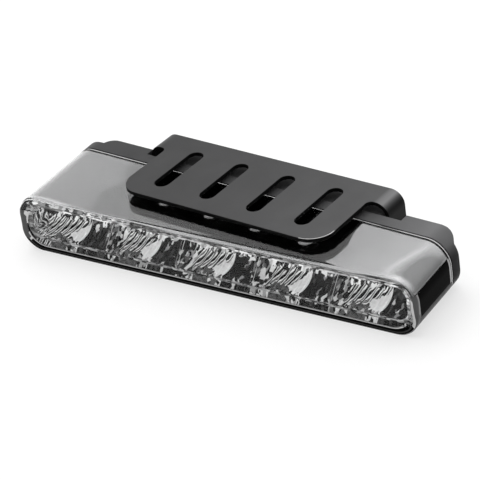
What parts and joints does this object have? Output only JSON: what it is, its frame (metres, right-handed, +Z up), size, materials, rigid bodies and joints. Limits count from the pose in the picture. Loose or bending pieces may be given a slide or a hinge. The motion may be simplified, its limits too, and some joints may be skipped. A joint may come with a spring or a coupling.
{
  "type": "daytime running light",
  "caption": "Slim clear-fronted car lamp with reflector cells and a silver bezel, a finned rear housing with a driver box, and a slotted steel mounting bracket over its top.",
  "frame": {"origin": "top face of the mounting bracket, in the middle of its four slots", "axes": "+X along the lamp, to the right seen from the front; +Y to the rear; +Z up, out of the bracket's top face"},
  "size_m": [0.1628, 0.0618, 0.0245],
  "materials": {
    "clear_lens": "clear polycarbonate, gloss",
    "silver_bezel": "satin silver coating on plastic",
    "mirror_reflector": "vacuum metallised plastic, mirror bright",
    "white_board": "white solder mask on an aluminium board",
    "light_chip": "ceramic package with a pale phosphor face",
    "screw_steel": "zinc plated",
    "heat_pad": "soft silicone pad",
    "seal_rubber": "black rubber",
    "housing_grey": "die cast, satin dark grey coating",
    "black_plastic": "moulded, matt",
    "green_board": "green solder mask",
    "ferrite": "dark ferrite",
    "capacitor_can": "bare can",
    "white_plastic": "moulded, matt",
    "bracket_paint": "satin dark grey powder coat on sheet steel",
    "insert_brass": "turned"
  },
  "bodies": {
    "root": {"outer_lens": "clear_lens", "bezel": "silver_bezel", "reflector": "mirror_reflector", "led_board": "white_board", "led_1": "light_chip", "led_2": "light_chip", "led_3": "light_chip", "led_4": "light_chip", "led_5": "light_chip", "board_screws": "screw_steel", "heat_pad": "heat_pad", "lens_seal": "seal_rubber", "rear_housing": "housing_grey", "rear_cover": "housing_grey", "cover_seal": "seal_rubber", "cover_screws": "screw_steel", "cable_grommet": "seal_rubber", "vent_body": "black_plastic", "vent_cap": "black_plastic", "driver_board": "green_board", "driver_screws": "screw_steel", "driver_inductor": "ferrite", "driver_capacitor_left": "capacitor_can", "driver_capacitor_right": "capacitor_can", "driver_chip": "black_plastic", "cable_terminal": "white_plastic", "link_header": "black_plastic", "mounting_bracket": "bracket_paint", "insert_left": "insert_brass", "insert_right": "insert_brass", "washer_left": "screw_steel", "washer_right": "screw_steel", "bolt_left": "screw_steel", "bolt_right": "screw_steel"}
  },
  "joints": []
}
